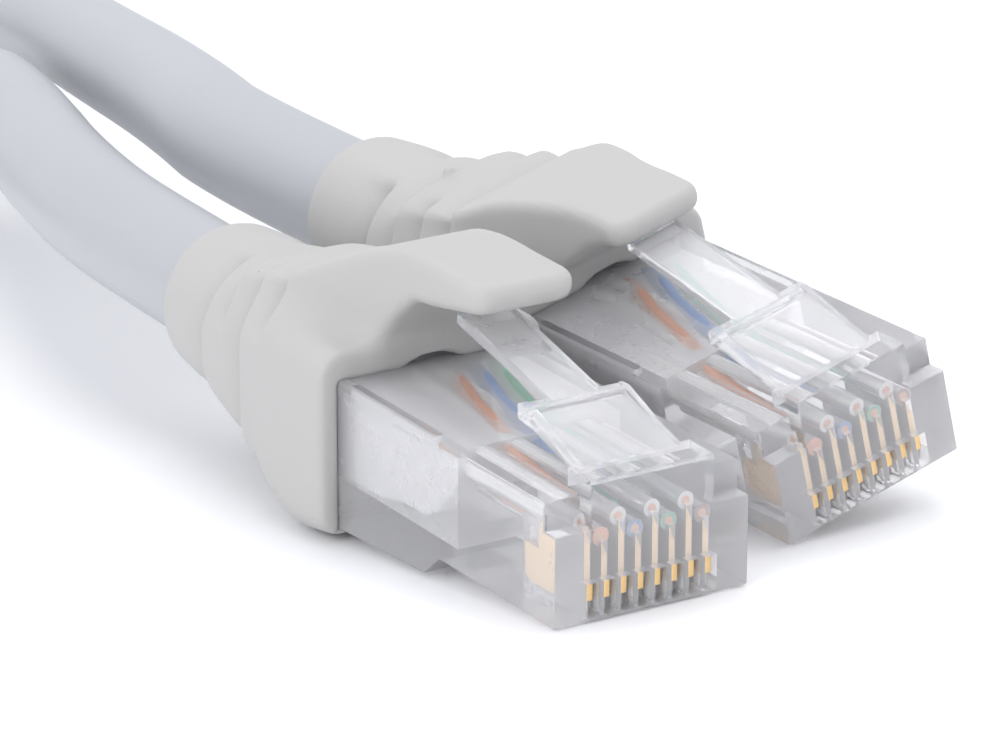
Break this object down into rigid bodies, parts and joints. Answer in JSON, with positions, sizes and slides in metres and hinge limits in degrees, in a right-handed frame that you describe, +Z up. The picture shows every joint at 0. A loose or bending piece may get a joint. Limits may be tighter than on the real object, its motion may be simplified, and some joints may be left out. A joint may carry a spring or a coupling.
{
  "type": "ethernet patch cable",
  "caption": "Short grey round patch cable in one loop, with a clear modular plug at each end, gold contacts, coloured conductors, and a soft boot with a hood over the latch.",
  "frame": {"origin": "on the surface that the cable lies on, under the middle of the box round the two plugs and boots", "axes": "+X the way plug A points, +Z up from the surface"},
  "size_m": [0.2116, 0.0799, 0.0175],
  "materials": {
    "clear_plastic": "clear moulded polycarbonate",
    "clear_guide": "clear moulded polycarbonate insert",
    "mould_grey": "satin, moulded",
    "boot_grey": "fine matt, soft moulded",
    "jacket_grey": "smooth satin, extruded",
    "gold_contact": "gold flash, polished",
    "bare_copper": "cut copper",
    "insulation_orange": "smooth extruded insulation",
    "insulation_white_orange": "white insulation with a orange stripe",
    "insulation_green": "smooth extruded insulation",
    "insulation_white_green": "white insulation with a green stripe",
    "insulation_blue": "smooth extruded insulation",
    "insulation_white_blue": "white insulation with a blue stripe",
    "insulation_brown": "smooth extruded insulation",
    "insulation_white_brown": "white insulation with a brown stripe"
  },
  "bodies": {
    "root": {"plug_housing_a": "clear_plastic", "wire_guide_a": "clear_guide", "contact_1_a": "gold_contact", "contact_2_a": "gold_contact", "contact_3_a": "gold_contact", "contact_4_a": "gold_contact", "contact_5_a": "gold_contact", "contact_6_a": "gold_contact", "contact_7_a": "gold_contact", "contact_8_a": "gold_contact", "conductor_white_orange_a": "insulation_white_orange", "conductor_orange_a": "insulation_orange", "conductor_white_green_a": "insulation_white_green", "conductor_blue_a": "insulation_blue", "conductor_white_blue_a": "insulation_white_blue", "conductor_green_a": "insulation_green", "conductor_white_brown_a": "insulation_white_brown", "conductor_brown_a": "insulation_brown", "conductor_cores_a": "bare_copper", "inner_mould_a": "mould_grey", "boot_a": "boot_grey", "plug_housing_b": "clear_plastic", "wire_guide_b": "clear_guide", "contact_1_b": "gold_contact", "contact_2_b": "gold_contact", "contact_3_b": "gold_contact", "contact_4_b": "gold_contact", "contact_5_b": "gold_contact", "contact_6_b": "gold_contact", "contact_7_b": "gold_contact", "contact_8_b": "gold_contact", "conductor_white_orange_b": "insulation_white_orange", "conductor_orange_b": "insulation_orange", "conductor_white_green_b": "insulation_white_green", "conductor_blue_b": "insulation_blue", "conductor_white_blue_b": "insulation_white_blue", "conductor_green_b": "insulation_green", "conductor_white_brown_b": "insulation_white_brown", "conductor_brown_b": "insulation_brown", "conductor_cores_b": "bare_copper", "inner_mould_b": "mould_grey", "boot_b": "boot_grey", "cable_run_a": "jacket_grey", "cable_loop": "jacket_grey", "cable_run_b": "jacket_grey"},
    "latch_lever_a": {"latch_a": "clear_plastic"},
    "hood_tab_a": {"hood_a": "boot_grey"},
    "latch_lever_b": {"latch_b": "clear_plastic"},
    "hood_tab_b": {"hood_b": "boot_grey"}
  },
  "joints": [
    {"name": "hood_press_a", "type": "hinge", "parent": "root", "child": "hood_tab_a", "pos_m": [0.00047, -0.00777, 0.01286], "axis": [0, 1, 0], "range_deg": [0, 18], "stiffness_Nm_per_rad": 0.05},
    {"name": "latch_flex_a", "type": "hinge", "parent": "root", "child": "latch_lever_a", "pos_m": [0.02259, -0.00777, 0.0075], "axis": [0, -1, 0], "range_deg": [0, 9], "stiffness_Nm_per_rad": 0.2},
    {"name": "hood_press_b", "type": "hinge", "parent": "root", "child": "hood_tab_b", "pos_m": [-0.00364, 0.00508, 0.01435], "axis": [-0.0382, 0.9667, 0.2531], "range_deg": [0, 18], "stiffness_Nm_per_rad": 0.05},
    {"name": "latch_flex_b", "type": "hinge", "parent": "root", "child": "latch_lever_b", "pos_m": [0.0183, 0.00741, 0.00877], "axis": [0.0382, -0.9667, -0.2531], "range_deg": [0, 9], "stiffness_Nm_per_rad": 0.2}
  ],
  "couplings": [
    {"joint": "latch_flex_a", "follows": "hood_press_a", "ratio": 0.5},
    {"joint": "latch_flex_b", "follows": "hood_press_b", "ratio": 0.5}
  ]
}
